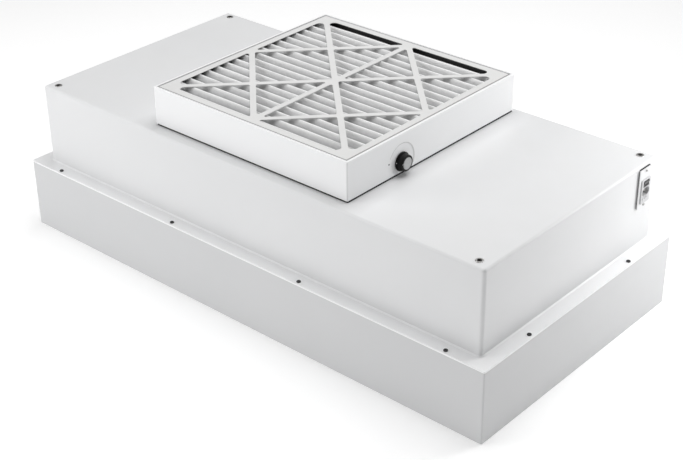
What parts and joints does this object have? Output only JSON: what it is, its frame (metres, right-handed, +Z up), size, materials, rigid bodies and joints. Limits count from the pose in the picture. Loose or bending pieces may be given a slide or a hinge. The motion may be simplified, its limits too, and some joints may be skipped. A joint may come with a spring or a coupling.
{
  "type": "fan filter unit",
  "caption": "Long shallow ceiling module with a flat ledge, a raised plenum and a square pleated pre-filter on top; a fan inside blows air down through a HEPA panel.",
  "frame": {"origin": "centre of the bottom rim, on the plane it rests on", "axes": "+X along the length towards the end with the power inlet, +Y to the rear long side, +Z up through the pre-filter"},
  "size_m": [1.21, 0.606, 0.41],
  "materials": {
    "white_powder_coat": "fine orange-peel powder coat",
    "black_foam_rubber": "closed-cell foam, matt",
    "filter_channel": "satin extruded",
    "filter_paper": "glass-fibre paper",
    "guard_mesh": "powder-coated expanded metal",
    "zinc_steel": "zinc plated",
    "dark_screw": "blackened",
    "acoustic_foam": "open-cell foam with a fleece face",
    "galvanised": "spangled",
    "motor_steel": "laminated, varnished",
    "copper_winding": "enamelled copper in resin",
    "black_paint": "semi-matt",
    "fan_aluminium": "mill finish",
    "capacitor_can": "drawn can",
    "card": "white beverage board",
    "prefilter_pad": "bonded polyester",
    "black_plastic": "moulded",
    "knob_plastic": "moulded, satin gloss",
    "spun_aluminium": "spun, satin",
    "white_paint_mark": "filled line",
    "dial_ink": "printed",
    "nickel_contact": "nickel plated",
    "cable_jacket": "PVC jacket",
    "light_plastic": "moulded",
    "grey_plastic": "moulded",
    "fuse_glass": "clear tube with end caps"
  },
  "bodies": {
    "case": {"filter_case": "white_powder_coat", "hepa_gasket": "black_foam_rubber", "hepa_frame": "filter_channel", "hepa_media": "filter_paper", "hepa_faceguard": "guard_mesh", "filter_clamps": "zinc_steel", "clamp_nuts": "zinc_steel", "diffuser_screen": "guard_mesh", "joint_gasket": "black_foam_rubber", "plenum_shell": "white_powder_coat", "ledge_screws": "dark_screw", "hanger_inserts": "zinc_steel", "ledge_flange": "white_powder_coat", "acoustic_liner": "acoustic_foam", "inlet_ring": "galvanised", "inlet_ring_screws": "zinc_steel", "terminal_box": "galvanised", "power_gasket": "black_foam_rubber", "power_plate": "white_powder_coat", "power_plate_screws": "zinc_steel", "inlet_module": "light_plastic", "inlet_pins": "nickel_contact", "control_cable": "cable_jacket", "motor_cable": "cable_jacket", "cable_grommets": "black_foam_rubber", "motor_posts": "zinc_steel", "motor_bracket": "galvanised", "post_screws": "zinc_steel", "motor_stator": "motor_steel", "motor_windings": "copper_winding", "motor_bearings": "zinc_steel", "motor_screws": "zinc_steel", "run_capacitor": "capacitor_can", "capacitor_clamp": "zinc_steel", "housing_gasket": "black_foam_rubber", "prefilter_housing": "white_powder_coat", "housing_screws": "zinc_steel", "speed_control": "grey_plastic", "control_nut": "nickel_contact", "dial_scale": "dial_ink"},
    "fan": {"motor_rotor": "black_paint", "motor_shaft": "zinc_steel", "impeller_wheel": "fan_aluminium", "impeller_shroud": "fan_aluminium", "rotor_screws": "zinc_steel"},
    "prefilter": {"prefilter_frame": "card", "prefilter_media": "prefilter_pad"},
    "knob": {"control_shaft": "zinc_steel", "speed_knob": "knob_plastic", "knob_cap": "spun_aluminium", "knob_pointer": "white_paint_mark"},
    "rocker": {"power_rocker": "black_plastic"},
    "fuse_carrier": {"fuse_drawer": "light_plastic", "fuse": "fuse_glass"}
  },
  "joints": [
    {"name": "impeller_spin", "type": "hinge", "parent": "case", "child": "fan", "pos_m": [0, 0.005, 0.2], "axis": [0, 0, 1], "continuous": true},
    {"name": "prefilter_lift", "type": "slide", "parent": "case", "child": "prefilter", "axis": [0, 0, 1], "range_m": [0, 0.12]},
    {"name": "knob_turn", "type": "hinge", "parent": "case", "child": "knob", "pos_m": [0.252, -0.096, 0.354], "axis": [1, 0, 0], "range_deg": [-200, 0]},
    {"name": "rocker_tilt", "type": "hinge", "parent": "case", "child": "rocker", "pos_m": [0.5785, 0.228, 0.2895], "axis": [0, -1, 0], "range_deg": [0, 18]},
    {"name": "fuse_drawer_slide", "type": "slide", "parent": "case", "child": "fuse_carrier", "axis": [1, 0, 0], "range_m": [0, 0.02]}
  ]
}
